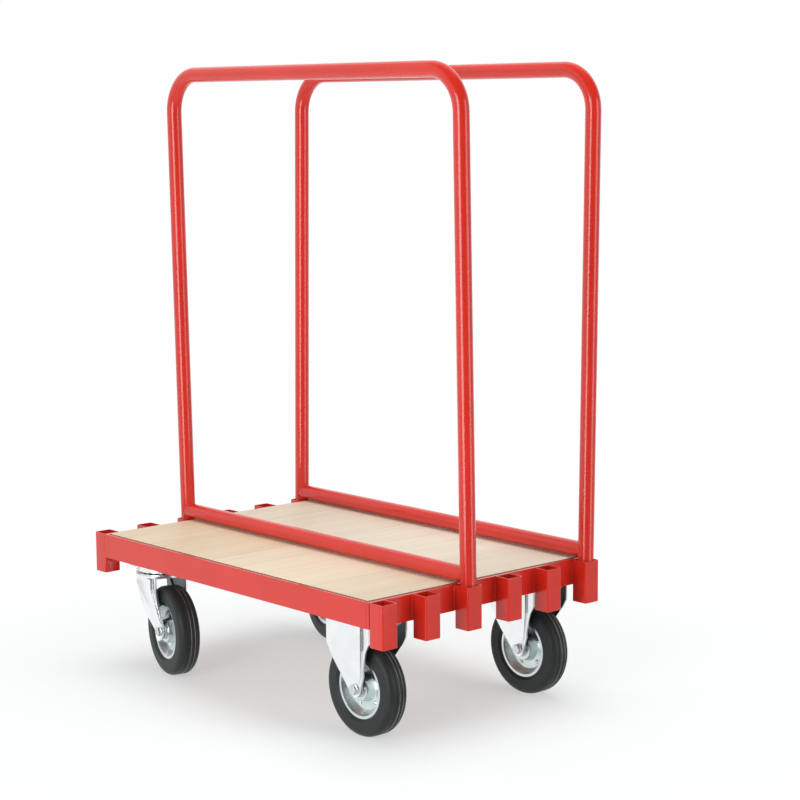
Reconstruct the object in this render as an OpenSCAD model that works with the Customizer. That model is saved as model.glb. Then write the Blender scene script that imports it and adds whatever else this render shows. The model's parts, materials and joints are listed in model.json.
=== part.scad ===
// Board cart for carrying sheets on edge: a welded angle frame with a plywood deck, square sockets
// along both ends, two lift-out tube hoops, two fixed casters and two swivel casters.
// X runs along the deck towards the fixed casters, Y runs across it and Z goes up from the floor.
// The origin is on the floor under the middle of the deck.

/* [Frame] */
// Length over the end rails
frame_l = 916; // [800:1:1200]
// Width over the side rails
frame_w = 610; // [560:5:760]
// Height of the rails
rail_h = 54; // [50:1:70]
// Thickness of the angle side rails
rail_t = 5; // [4:0.5:6]
// Thickness of the end rails
end_t = 8; // [5:0.5:10]
// Width of the rails' bottom flange
rail_flange = 50; // [50:1:56]
// Width of a cross bearer's flanges
bearer_w = 40; // [36:1:50]
// Thickness of a cross bearer
bearer_t = 4; // [3:0.5:5]

/* [Deck] */
// Thickness of the deck board
deck_t = 18; // [15:1:21]
// Gap between the deck board and the rails
deck_gap = 2; // [1:0.5:3]
// Height of the deck above the rails
deck_proud = 1.6; // [0:0.2:3]
// Diameter of a deck screw's shank
screw_d = 4.5; // [3.5:0.5:5]
// Depth of a deck screw in the board
screw_bite = 11; // [8:1:13]
// Height of a deck screw's head
screw_head_h = 2.8; // [2:0.2:4]
// Distance between a bearer's outer deck screws
screw_span = 420; // [300:10:460]

/* [Sockets] */
// Sockets on each end rail
socket_count = 6; // [6:1:8]
// Outside width of a socket tube
socket_s = 40; // [38:0.5:46]
// Wall of a socket tube
socket_wall = 2; // [1.5:0.1:2.2]
// Outer corner radius of a socket tube
socket_corner = 4; // [3:0.5:5]
// Length of a socket tube
socket_l = 89.5; // [78:0.5:96]
// Distance from the rail's top down to the socket's top
socket_drop = 0; // [0:0.5:8]

/* [Hoops] */
// Outside diameter of the hoop tube
tube_d = 33.7; // [28:0.1:33.7]
// Wall of the hoop tube
tube_wall = 2; // [1.5:0.1:3]
// Height of the hoops above the deck
hoop_rise = 1044; // [700:1:1300]
// Centre line radius of the hoop bends
bend_r = 85; // [60:1:140]
// Height of a post's end above the socket's bottom
post_clear = 20; // [10:1:36]
// Gap between the crossbar and the deck
crossbar_gap = 1.6; // [0.4:0.1:3]
// Sockets in front of the one that holds the middle hoop
empty_count = 2; // [1:1:3]
// Lean of the middle hoop towards the front
middle_lean = 0.9; // [0:0.05:1]
// Lean of the rear hoop towards the back
rear_lean = 1; // [0:0.05:1]

/* [Wheels] */
// Diameter of a wheel
wheel_d = 200; // [180:1:220]
// Width of a tyre
tyre_w = 50; // [44:1:52]
// Radius of a tyre's rounded shoulder
shoulder_r = 14; // [8:1:16]
// Distance of the tread grooves from the tread's middle
groove_y = 7; // [5:0.5:9]
// Width of a tread groove
groove_w = 2.4; // [1.6:0.2:3]
// Radius of the rim's lip
rim_r = 63; // [60:0.5:70]
// Width of the rim's flat lip
lip_w = 6; // [4:0.5:8]
// Distance from the tyre's side in to the rim's lip
lip_inset = 4.5; // [3:0.5:7]
// Radius of the rim's flat web
web_r = 47; // [42:0.5:50]
// Distance of the web's face from the wheel's middle
web_y = 4; // [3.5:0.5:8]
// Thickness of the rim's sheet
rim_t = 2.5; // [2:0.1:3]
// Radius of the hub's cone where it leaves the web
dome_r = 30; // [29:0.5:36]
// Radius of the hub's cone at its end
dome_top_r = 25; // [22:0.5:27]
// Distance of the hub cone's end from the wheel's middle
dome_y = 22; // [16:0.5:23]
// Wall of the hub tube
hub_wall = 3; // [2:0.2:3.6]
// Room between the hub tube and a leg
hub_room = 1; // [0.5:0.1:2]

/* [Axles] */
// Diameter of the axle bolt
axle_d = 12; // [10:0.5:14]
// Diameter of the sleeve that the rollers run on
sleeve_d = 20; // [18:0.5:21]
// Diameter of a bearing roller
roller_d = 5; // [4:0.2:5.6]
// Distance from the hub tube's end in to a roller's end
roller_margin = 3; // [2:0.5:5]
// Rollers in a wheel
roller_count = 10; // [6:1:10]
// Half the distance between the bolt seats
seat_half = 33; // [32:0.5:36]
// Width of the axle bolt's head across its flats
axle_head_af = 19; // [17:1:22]
// Height of the axle bolt's head
axle_head_h = 7.5; // [6:0.5:9]
// Height of the axle nut
axle_nut_h = 10; // [8:0.5:12]
// Thread that shows past the axle nut
axle_tail = 3; // [2:0.5:6]

/* [Caster brackets] */
// Distance from the side rail's outer face to a caster's middle
caster_inset = 75; // [75:1:90]
// Distance from the end rail's outer face to a fixed wheel's axle
fixed_inset = 95; // [92:1:120]
// Distance from the end rail's outer face to a swivel axis
swivel_inset = 112.5; // [104:0.5:140]
// Sheet thickness of the caster brackets
sheet_t = 4; // [3:0.5:4]
// Height of the raised rib on a caster leg
rib_raise = 5; // [4:0.5:8]
// Width of the flat margin beside the rib
rib_margin = 20; // [14:1:24]
// Height above the axle at which a leg stops sloping
leg_straight = 30; // [26:1:40]
// Thickness of the caster top plates
plate_t = 5; // [4:0.5:6]
// Length of a fixed caster's plate and of its legs
fixed_plate_l = 130; // [128:1:140]
// Width of a fixed caster's plate over its legs
fixed_plate_w = 103; // [102:1:112]
// Height of the legs' upright part under the plate
fixed_drop = 57; // [44:1:62]
// Reach of a fixed leg's front edge at half its height
fixed_lead = 57; // [52:1:62]
// Height of that point above the axle
fixed_lead_rise = 54; // [48:1:60]
// Reach of a fixed leg's front edge above the foot
fixed_lead_low = 48; // [42:1:52]
// Height of that point above the axle
fixed_lead_low_rise = 31; // [28:1:36]
// Height above the axle at which a fixed leg's back edge starts to narrow
fixed_back_rise = 106; // [96:1:112]
// Reach of a fixed leg's back edge beside the rib
fixed_back = 43; // [41:1:48]
// Height of that point above the axle
fixed_back_mid_rise = 68; // [62:1:74]
// Reach of a fixed leg's back edge above the foot
fixed_back_low = 30; // [29:1:34]
// Height of that point above the axle
fixed_back_low_rise = 44; // [40:1:50]
// Radius of a fixed leg's rounded foot
foot_r = 16; // [15:0.5:22]
// Length of a swivel caster's plate
swivel_plate_l = 135; // [130:1:145]
// Width of a swivel caster's plate
swivel_plate_w = 110; // [104:1:116]
// Corner radius of a swivel caster's plate
plate_corner = 8; // [5:1:12]
// Bolt spacing along the plates
bolt_gap_x = 105; // [104:1:106]
// Bolt spacing across the plates
bolt_gap_y = 75; // [74:1:76]

/* [Swivel heads] */
// Distance from the swivel axis back to the axle
trail = 62; // [50:1:70]
// Turn of the swivel casters at rest
swivel_turn = -12.5; // [-90:0.5:90]
// Gap between the tyre and the fork's crown
wheel_gap = 17; // [14:0.5:24]
// Thickness of the fork's crown
crown_t = 5; // [4:0.5:6]
// Height of the ball race between crown and plate
race_h = 20; // [17:0.5:24]
// Radius of the ball race
race_r = 53.5; // [46:0.5:53.5]
// Height of the lower race ring
lower_race_h = 2; // [1.5:0.5:4]
// Open gap between the race rings
race_gap = 4; // [3:0.5:5]
// Diameter of a race ball
ball_d = 8; // [7:0.5:9]
// Balls in a race
ball_count = 16; // [8:1:18]
// Distance from the race's edge in to the ball circle
ball_inset = 11; // [10:0.5:13]
// Width of the fork over its legs at the crown
fork_w = 78; // [76:1:90]
// Length of the crown ahead of the swivel axis
crown_lead = 57; // [48:1:58]
// Length of the crown behind the swivel axis
crown_back = 54; // [42:1:56]
// Height of the legs' upright part under the crown
fork_drop = 30; // [24:1:40]
// Height above the axle of a fork leg's middle width
fork_mid_rise = 50; // [44:1:56]
// Reach of a fork leg's middle ahead of the swivel axis
fork_mid_lead = 42; // [24:1:46]
// Reach of a fork leg's middle behind the swivel axis
fork_mid_back = 58; // [56:1:62]
// Height above the axle at which a fork leg's front edge turns back
fork_low_rise = 24; // [18:1:30]
// Reach of that turn ahead of the swivel axis
fork_low_lead = 18; // [0:1:24]
// Radius of a fork leg's rounded foot
fork_foot_r = 16; // [15:0.5:20]
// Diameter of the kingpin
kingpin_d = 14; // [12:0.5:18]
// Diameter of the kingpin's flange under the crown
kingpin_flange_d = 26; // [22:1:32]
// Height of the kingpin's flange
kingpin_flange_h = 6; // [4:0.5:7]

/* [Caster bolts] */
// Diameter of a caster bolt
bolt_d = 10; // [8:0.5:10]
// Width of bolt heads and nuts across their flats
bolt_af = 17; // [15:0.5:17]
// Height of a bolt's head
bolt_head_h = 6.4; // [5:0.2:8]
// Height of a nut
nut_h = 8; // [6:0.5:9]
// Thread that shows past a nut
bolt_tail = 4; // [2:0.5:5]

/* [Clearances] */
// Radial room of a bolt in its hole
bolt_room = 0.5; // [0.3:0.1:0.8]
// Radial room of a running fit
running_room = 0.06; // [0.03:0.01:0.1]
// Room between a moving face and its neighbour
face_room = 0.3; // [0.3:0.1:0.6]

/* [Hidden] */
$fn = 96;
cut = 1;

// Heights
axle_z = wheel_d / 2;
crown_z = wheel_d + wheel_gap;
race_z = crown_z + crown_t;
caster_h = race_z + race_h + plate_t;
rail_top = caster_h + rail_h;
deck_top = rail_top + deck_proud;
deck_z = deck_top - deck_t;
plate_z = caster_h - plate_t;
socket_top = rail_top - socket_drop;
socket_z = socket_top - socket_l;

// Frame
inner_w = frame_w - 2 * rail_t;
inner_l = frame_l - 2 * end_t;
bearer_l = frame_w - 2 * rail_flange;
bearer_h = deck_z - caster_h;
socket_x = frame_l / 2 + socket_s / 2;
socket_pitch = (frame_w - socket_s) / (socket_count - 1);
caster_y = frame_w / 2 - caster_inset;
fixed_x = frame_l / 2 - fixed_inset;
swivel_x = -frame_l / 2 + swivel_inset;
bearer_xs = [swivel_x - bolt_gap_x / 2, swivel_x + bolt_gap_x / 2, (swivel_x + fixed_x) / 2,
             fixed_x - bolt_gap_x / 2, fixed_x + bolt_gap_x / 2];
// A bearer's upright stands clear of its bolts, on the side away from the caster's middle
bearer_sides = [-1, 1, 1, -1, 1];

// Hoops
tube_r = tube_d / 2;
crossbar_z = deck_top + crossbar_gap + tube_r;
hoop_z = deck_top + hoop_rise - tube_r;
middle_socket = empty_count + 1;
post_z = socket_z + post_clear;
lean_z = (post_z + socket_top) / 2;

// Wheels and casters
hub_bore_r = sleeve_d / 2 + 2 * running_room + roller_d;
roller_circle = sleeve_d / 2 + running_room + roller_d / 2;
hub_r = hub_bore_r + hub_wall;
sleeve_half = seat_half - sheet_t;
hub_tube_half = sleeve_half - hub_room;
lip_y = tyre_w / 2 - lip_inset;
cone_off = 0.57 * rim_t;
dome_off = 0.76 * rim_t;
fixed_bend_z = caster_h - fixed_drop;
fork_bend_z = race_z - fork_drop;
foot_z = axle_z + leg_straight;
fork_mid_z = axle_z + fork_mid_rise;
fork_low_z = axle_z + fork_low_rise;
rib_z = axle_z + axle_head_af * 0.75;
ball_z = race_z + lower_race_h + race_gap / 2;
ball_circle = race_r - ball_inset;
wide = 2 * frame_w;

casters = ["front", "rear"];
wheels = ["front_fixed", "rear_fixed", "front_swivel", "rear_swivel"];

function side_y(c) = c == "front" ? -caster_y : caster_y;
function socket_y(i) = -frame_w / 2 + socket_s / 2 + (i - 1) * socket_pitch;

// Small shapes

module rounded_square(w, h, r) {
    square([w - 2 * r, h], center = true);
    square([w, h - 2 * r], center = true);
    for (x = [-1, 1]) for (y = [-1, 1])
        translate([x * (w / 2 - r), y * (h / 2 - r)]) circle(r);
}

module hex(af, h) {
    cylinder(d = af / cos(30), h = h, $fn = 6);
}

// Stands a drawing of X and Z up as a slab across Y
module across(depth) {
    rotate([90, 0, 0]) linear_extrude(depth, center = true) children();
}

// Stretches a drawing of Y and Z into a bar along X
module along(length) {
    rotate([90, 0, 90]) linear_extrude(length, center = true) children();
}

// A cylinder along Y between two distances from the middle
module axle_rod(r, from, to) {
    translate([0, from, 0]) rotate([-90, 0, 0]) cylinder(r = r, h = to - from);
}

module at_bolts(x, y) {
    for (i = [-1, 1]) for (j = [-1, 1])
        translate([x + i * bolt_gap_x / 2, y + j * bolt_gap_y / 2]) children();
}

module at_all_bolts() {
    for (y = [-caster_y, caster_y]) {
        at_bolts(fixed_x, y) children();
        at_bolts(swivel_x, y) children();
    }
}

module bolt_holes() {
    at_all_bolts()
        translate([0, 0, plate_z - cut])
            cylinder(d = bolt_d + 2 * bolt_room, h = plate_t + rail_t + 2 * cut);
}

module at_wheel(w) {
    if (w == "front_fixed") translate([fixed_x, -caster_y, axle_z]) children();
    if (w == "rear_fixed") translate([fixed_x, caster_y, axle_z]) children();
    if (w == "front_swivel") at_swivel("front") translate([trail, 0, axle_z]) children();
    if (w == "rear_swivel") at_swivel("rear") translate([trail, 0, axle_z]) children();
}

module at_swivel(c) {
    translate([swivel_x, side_y(c), 0]) rotate(swivel_turn) children();
}

// Frame

// Turns a piece drawn for the front side over to the rear
module on_side(side) {
    if (side < 0) children();
    else mirror([0, 1, 0]) children();
}

module side_rail(side) {
    color("#d8352c") difference() {
        on_side(side) translate([-inner_l / 2, -frame_w / 2, caster_h]) union() {
            cube([inner_l, rail_t, rail_h]);
            cube([inner_l, rail_flange, rail_t]);
        }
        bolt_holes();
    }
}

module end_rail(side) {
    color("#d8352c") translate([side * (frame_l - end_t) / 2, 0, caster_h + rail_h / 2])
        cube([end_t, frame_w, rail_h], center = true);
}

module cross_bearer(i) {
    web_x = bearer_sides[i - 1] * (bearer_w - bearer_t) / 2;
    color("#d8352c") difference() {
        translate([bearer_xs[i - 1], -bearer_l / 2, caster_h]) union() {
            for (z = [0, bearer_h - bearer_t])
                translate([-bearer_w / 2, 0, z]) cube([bearer_w, bearer_l, bearer_t]);
            translate([web_x - bearer_t / 2, 0, 0]) cube([bearer_t, bearer_l, bearer_h]);
        }
        bolt_holes();
        at_screws(i) translate([0, 0, -cut]) cylinder(d = screw_d + 2 * bolt_room, h = bearer_t + 2 * cut);
    }
}

module at_screws(i) {
    for (y = [-1, 0, 1])
        translate([bearer_xs[i - 1], y * screw_span / 2, deck_z - bearer_t]) children();
}

module deck_board() {
    color("#e9d6ba") difference() {
        translate([-inner_l / 2 + deck_gap, -inner_w / 2 + deck_gap, deck_z])
            cube([inner_l - 2 * deck_gap, inner_w - 2 * deck_gap, deck_t]);
        for (i = [1:len(bearer_xs)]) at_screws(i)
            cylinder(d = screw_d + 2 * running_room, h = bearer_t + screw_bite + running_room);
    }
}

module deck_screws() {
    color("#c8cacc") for (i = [1:len(bearer_xs)]) at_screws(i) {
        cylinder(d = screw_d, h = bearer_t + screw_bite);
        translate([0, 0, -screw_head_h]) cylinder(d = 2 * screw_d, h = screw_head_h);
    }
}

module socket(side, i) {
    color("#d8352c") translate([side * socket_x, socket_y(i), socket_z]) difference() {
        linear_extrude(socket_l) rounded_square(socket_s, socket_s, socket_corner);
        translate([0, 0, -cut]) linear_extrude(socket_l + 2 * cut)
            rounded_square(socket_s - 2 * socket_wall, socket_s - 2 * socket_wall,
                           socket_corner - socket_wall);
    }
}

// The outer bolts sit on a side rail's flange and the inner ones on a bearer's flange
module caster_bolts() {
    low_z = plate_z - nut_h - bolt_tail;
    color("#c8cacc") for (x = [fixed_x, swivel_x]) for (i = [-1, 1])
        for (side = [-1, 1]) for (out = [-1, 1]) {
            seat_z = caster_h + (out > 0 ? rail_t : bearer_t);
            translate([x + i * bolt_gap_x / 2, side * (caster_y + out * bolt_gap_y / 2), 0]) {
                translate([0, 0, seat_z]) hex(bolt_af, bolt_head_h);
                translate([0, 0, low_z]) cylinder(d = bolt_d, h = seat_z + cut - low_z);
            }
        }
}

module caster_nuts() {
    color("#c8cacc") at_all_bolts()
        translate([0, 0, plate_z - nut_h]) difference() {
            hex(bolt_af, nut_h);
            translate([0, 0, -cut]) cylinder(d = bolt_d + 2 * running_room, h = nut_h + 2 * cut);
        }
}

// Hoops

module leaning(i, lean) {
    translate([0, socket_y(i), lean_z]) rotate([lean, 0, 0]) translate([0, 0, -lean_z]) children();
}

module bow_solid(r, reach) {
    for (side = [-1, 1]) {
        translate([side * socket_x, 0, post_z - reach])
            cylinder(r = r, h = hoop_z - bend_r - post_z + reach);
        translate([side * (socket_x - bend_r), 0, hoop_z - bend_r])
            mirror([side < 0 ? 1 : 0, 0, 0]) rotate([90, 0, 0])
                rotate_extrude(angle = 90) translate([bend_r, 0]) circle(r);
    }
    translate([-socket_x + bend_r, 0, hoop_z]) rotate([0, 90, 0])
        cylinder(r = r, h = 2 * (socket_x - bend_r));
}

module hoop_bow(i, lean) {
    color("#d8352c") leaning(i, lean) difference() {
        bow_solid(tube_r, 0);
        bow_solid(tube_r - tube_wall, cut);
    }
}

module hoop_crossbar(i, lean) {
    color("#d8352c") leaning(i, lean) difference() {
        translate([-socket_x, 0, crossbar_z]) rotate([0, 90, 0])
            difference() {
                cylinder(r = tube_r, h = 2 * socket_x);
                translate([0, 0, -cut]) cylinder(r = tube_r - tube_wall, h = 2 * (socket_x + cut));
            }
        for (side = [-1, 1])
            translate([side * socket_x, 0, crossbar_z - tube_d]) cylinder(r = tube_r, h = 2 * tube_d);
    }
}

// Wheels, with the axle along Y through the origin

// One disc of the rim and its half of the hub tube, from the wheel's middle out to the tube's end
function rim_path(side) = [
    [hub_r, side * (dome_y - rim_t)], [dome_top_r - dome_off, side * (dome_y - rim_t)],
    [dome_r - dome_off, side * (web_y - rim_t)], [web_r + cone_off, side * (web_y - rim_t)],
    [rim_r - lip_w + cone_off, side * (lip_y - rim_t)], [rim_r, side * (lip_y - rim_t)],
    [rim_r, side * lip_y], [rim_r - lip_w, side * lip_y],
    [web_r, side * web_y], [dome_r, side * web_y],
    [dome_top_r, side * dome_y], [hub_r, side * dome_y],
    [hub_r, side * hub_tube_half], [hub_bore_r, side * hub_tube_half]];

function reversed(list) = [for (i = [len(list) - 1:-1:0]) list[i]];

module rim(w) {
    color("#c4c8ca") at_wheel(w) rotate([-90, 0, 0]) rotate_extrude()
        polygon(concat(rim_path(1), reversed(rim_path(-1))));
}

// The tyre fills the groove between the two rim discs, with a little room at the sheet
function tyre_path(side) = let (
    half = tyre_w / 2,
    inner = [web_r + cone_off + running_room, web_y - rim_t],
    outer = [rim_r - lip_w + cone_off + running_room, lip_y - rim_t - running_room],
    tip = inner + (outer - inner) * 0.08
) [
    [tip[0], side * tip[1]], [outer[0], side * outer[1]],
    [rim_r + running_room, side * outer[1]], [rim_r + running_room, side * (lip_y + 0.5)],
    [rim_r + lip_w, side * half], [wheel_d / 2 - shoulder_r, side * half]];

module tyre(w) {
    half = tyre_w / 2;
    edge_r = wheel_d / 2 - shoulder_r;
    color("#2f3131") at_wheel(w) rotate([-90, 0, 0]) difference() {
        union() {
            rotate_extrude() polygon(concat(tyre_path(1), reversed(tyre_path(-1))));
            rotate_extrude() translate([edge_r - cut, -half + shoulder_r])
                square([shoulder_r + cut, tyre_w - 2 * shoulder_r]);
            for (side = [-1, 1])
                rotate_extrude() translate([edge_r, side * (half - shoulder_r)]) circle(shoulder_r);
        }
        for (side = [-1, 1])
            rotate_extrude() translate([wheel_d / 2, side * groove_y]) circle(d = groove_w);
    }
}

// Rollers and the two rings that keep them apart
module rollers(w) {
    half = hub_tube_half - roller_margin;
    ring_t = 2;
    ring_r = roller_d * 0.36;
    color("#9aa0a4") at_wheel(w) {
        for (i = [0:roller_count - 1]) rotate([0, i * 360 / roller_count, 0])
            translate([roller_circle, 0, 0]) axle_rod(roller_d / 2, -half, half);
        for (y = [-half - ring_t + cut, half - cut])
            difference() {
                axle_rod(roller_circle + ring_r, y, y + ring_t);
                axle_rod(roller_circle - ring_r, y - cut, y + ring_t + cut);
            }
    }
}

module axle_bolt() {
    color("#c8cacc") {
        axle_rod(axle_d / 2, -seat_half - cut, seat_half + axle_nut_h + axle_tail);
        translate([0, -seat_half - axle_head_h, 0]) rotate([-90, 0, 0]) hex(axle_head_af, axle_head_h);
    }
}

module axle_nut() {
    color("#c8cacc") translate([0, seat_half, 0]) difference() {
        rotate([-90, 0, 0]) hex(axle_head_af, axle_nut_h);
        axle_rod(axle_d / 2 + running_room, -cut, axle_nut_h + cut);
    }
}

module axle_sleeve() {
    color("#b4b8bb") difference() {
        axle_rod(sleeve_d / 2, -sleeve_half, sleeve_half);
        axle_rod(axle_d / 2 + running_room, -sleeve_half - cut, sleeve_half + cut);
    }
}

// Pressed caster legs

// A leg's sheet in Y and Z on the front side: upright, sloping in, then upright past the axle.
// The outer face stands out by one amount above the bend and by another at the slope's end.
module leg_sheet(top_half, top_z, bend_z, low_z, out, low_out, thick) {
    polygon([
        [-top_half - out, top_z], [-top_half - out, bend_z], [-seat_half - low_out, foot_z],
        [-seat_half - (low_z < rib_z ? low_out : 0), low_z],
        [-seat_half + thick, low_z], [-seat_half + thick, foot_z],
        [-top_half + thick, bend_z], [-top_half + thick, top_z]]);
}

// The hollow behind a leg's rib
module rib_hollow(top_half, top_z, bend_z, low_out) {
    shift = rib_raise - sheet_t;
    polygon([
        [-top_half - shift, top_z], [-top_half - shift, bend_z], [-seat_half + sheet_t - low_out, foot_z],
        [-seat_half + sheet_t + cut, foot_z], [-top_half + sheet_t + cut, bend_z],
        [-top_half + sheet_t + cut, top_z]]);
}

// One leg: its outline, its raised rib and the hollow behind the rib are drawings of X and Z
module pressed_leg(top_half, top_z, bend_z, foot, foot_x) {
    low_out = rib_raise * 0.6;
    difference() {
        union() {
            intersection() {
                along(wide) leg_sheet(top_half, top_z, bend_z, axle_z - foot - cut, 0, 0, sheet_t);
                across(wide) children(0);
            }
            intersection() {
                along(wide) leg_sheet(top_half, top_z, bend_z, rib_z, rib_raise, low_out, sheet_t);
                across(wide) children(1);
            }
        }
        intersection() {
            along(wide) rib_hollow(top_half, top_z, bend_z, low_out);
            across(wide) children(2);
        }
        translate([foot_x, 0, axle_z]) axle_rod(axle_d / 2 + bolt_room, -wide, 0);
    }
}

// The point at which a line from p meets a circle without crossing it
function touch(c, r, p, side) =
    let (d = p - c, a = atan2(d[1], d[0]) - side * acos(r / norm(d)))
    c + r * [cos(a), sin(a)];

// A leg from its top edge down to a rounded foot round the axle. Each path runs down one edge.
module leg_outline(top_z, lead_path, back_path, foot_x, foot) {
    c = [foot_x, axle_z];
    lead_end = lead_path[len(lead_path) - 1];
    back_end = back_path[len(back_path) - 1];
    polygon(concat(
        [[lead_path[0][0], top_z], [back_path[0][0], top_z]], back_path,
        [touch(c, foot, back_end, 1), c, touch(c, foot, lead_end, -1)], reversed(lead_path)));
    translate(c) circle(foot);
}

// A leg's rib, which narrows towards the axle, drawn down to one height and set in from its edges
module rib_outline(lead, back, top_z, bend_z, foot_x, foot, end_z, inset) {
    part = (bend_z - end_z) / (bend_z - rib_z);
    low_lead = -lead + (foot_x - foot + lead) * part;
    low_back = back + (foot_x + foot - back) * part;
    polygon([[-lead + inset, top_z], [back - inset, top_z], [back - inset, bend_z],
             [low_back - inset, end_z], [low_lead + inset, end_z], [-lead + inset, bend_z]]);
}

module fixed_bracket(c) {
    half = fixed_plate_w / 2;
    edge = fixed_plate_l / 2;
    rib = edge - rib_margin;
    low = foot_r * 0.85;
    bend = fixed_bend_z;
    color("#d3d6d8") translate([fixed_x, side_y(c), 0]) union() {
        for (side = [-1, 1]) on_side(side) pressed_leg(half, caster_h, bend, foot_r, 0) {
            leg_outline(caster_h, [[-edge, bend], [-fixed_lead, axle_z + fixed_lead_rise],
                                   [-fixed_lead_low, axle_z + fixed_lead_low_rise]],
                        [[edge, axle_z + fixed_back_rise], [fixed_back, axle_z + fixed_back_mid_rise],
                         [fixed_back_low, axle_z + fixed_back_low_rise]], 0, foot_r);
            rib_outline(rib, rib, caster_h - sheet_t, bend, 0, low, rib_z, 0);
            rib_outline(rib, rib, plate_z - sheet_t, bend, 0, low, foot_z, sheet_t);
        }
        difference() {
            translate([-edge, -half + cut, plate_z]) cube([2 * edge, 2 * (half - cut), plate_t]);
            at_bolts(0, 0) translate([0, 0, plate_z - cut])
                cylinder(d = bolt_d + 2 * bolt_room, h = plate_t + 2 * cut);
        }
    }
}

// Swivel heads, with the swivel axis along Z through the origin and the wheel behind it along X

module swivel_fork(c) {
    half = fork_w / 2;
    bend = fork_bend_z;
    low = fork_foot_r * 0.5;
    margin = rib_margin - sheet_t;
    lead = crown_lead - margin;
    back = crown_back - margin;
    color("#d3d6d8") at_swivel(c) difference() {
        union() {
            for (side = [-1, 1]) on_side(side) pressed_leg(half, race_z, bend, fork_foot_r, trail) {
                leg_outline(race_z, [[-crown_lead, bend], [-fork_mid_lead, fork_mid_z],
                                     [-fork_low_lead, fork_low_z]],
                            [[crown_back, crown_z], [fork_mid_back, fork_mid_z]], trail, fork_foot_r);
                rib_outline(lead, back, race_z - 2 * sheet_t, bend, trail, low, rib_z, 0);
                rib_outline(lead, back, crown_z - sheet_t, bend, trail, low, foot_z, sheet_t);
            }
            translate([-crown_lead, -half + cut, crown_z])
                cube([crown_lead + crown_back, 2 * (half - cut), crown_t]);
            translate([0, 0, crown_z]) cylinder(r = race_r + sheet_t, h = crown_t);
            translate([0, 0, crown_z]) cylinder(r = race_r, h = crown_t + lower_race_h);
        }
        translate([0, 0, crown_z - cut])
            cylinder(d = kingpin_d + 2 * running_room, h = crown_t + race_h);
        ball_groove(0);
    }
}

module ball_groove(room) {
    translate([0, 0, ball_z]) rotate_extrude() translate([ball_circle, 0]) circle(d = ball_d + 2 * room);
}

module swivel_top_plate(c) {
    upper_z = ball_z + race_gap / 2;
    color("#d3d6d8") translate([swivel_x, side_y(c), 0]) difference() {
        union() {
            translate([0, 0, plate_z]) linear_extrude(plate_t)
                rounded_square(swivel_plate_l, swivel_plate_w, plate_corner);
            translate([0, 0, upper_z]) cylinder(r = race_r, h = caster_h - upper_z);
        }
        at_bolts(0, 0) translate([0, 0, plate_z - cut])
            cylinder(d = bolt_d + 2 * bolt_room, h = plate_t + 2 * cut);
        translate([0, 0, upper_z - cut]) cylinder(d = kingpin_d, h = caster_h - upper_z + 2 * cut);
        ball_groove(running_room);
    }
}

module swivel_race_balls(c) {
    color("#b4b8bb") at_swivel(c)
        for (i = [0:ball_count - 1]) rotate(i * 360 / ball_count)
            translate([ball_circle, 0, ball_z]) sphere(d = ball_d);
}

module swivel_kingpins() {
    flange_z = crown_z - face_room - kingpin_flange_h;
    color("#b4b8bb") for (c = casters) translate([swivel_x, side_y(c), flange_z]) {
        cylinder(d = kingpin_flange_d, h = kingpin_flange_h);
        cylinder(d = kingpin_d, h = caster_h - flange_z);
    }
}

// Pieces that are drawn for each side

module at_fixed_axles() {
    for (c = casters) at_wheel(str(c, "_fixed")) children();
}

side_rail(-1);  // side_rail_front
side_rail(1);  // side_rail_rear
end_rail(-1);  // end_rail_left
end_rail(1);  // end_rail_right
for (i = [1:len(bearer_xs)])
    cross_bearer(i);
deck_board();
deck_screws();
caster_bolts();
caster_nuts();
for (i = [1:socket_count]) {
    socket(-1, i);
    socket(1, i);
}
hoop_bow(middle_socket, middle_lean);  // middle_hoop_bow
hoop_crossbar(middle_socket, middle_lean);  // middle_hoop_crossbar
hoop_bow(socket_count, -rear_lean);  // rear_hoop_bow
hoop_crossbar(socket_count, -rear_lean);  // rear_hoop_crossbar
at_fixed_axles() axle_bolt();  // fixed_axle_bolts
at_fixed_axles() axle_nut();  // fixed_axle_nuts
at_fixed_axles() axle_sleeve();  // fixed_axle_sleeves
swivel_kingpins();
for (c = casters) {
    fixed_bracket(c);
    swivel_top_plate(c);
    swivel_fork(c);
    swivel_race_balls(c);
    at_wheel(str(c, "_swivel")) axle_bolt();
    at_wheel(str(c, "_swivel")) axle_nut();
    at_wheel(str(c, "_swivel")) axle_sleeve();
}
for (w = wheels) {
    rim(w);
    tyre(w);
    rollers(w);
}
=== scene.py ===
"""Looks of the drywall cart: finishes, softened edges, welds, rivets, studio and camera."""

import json
import logging
import math
from dataclasses import dataclass, field
from enum import Enum
from typing import Any, Sequence, Union

import bmesh
import bpy
from mathutils import Matrix, Vector


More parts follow.
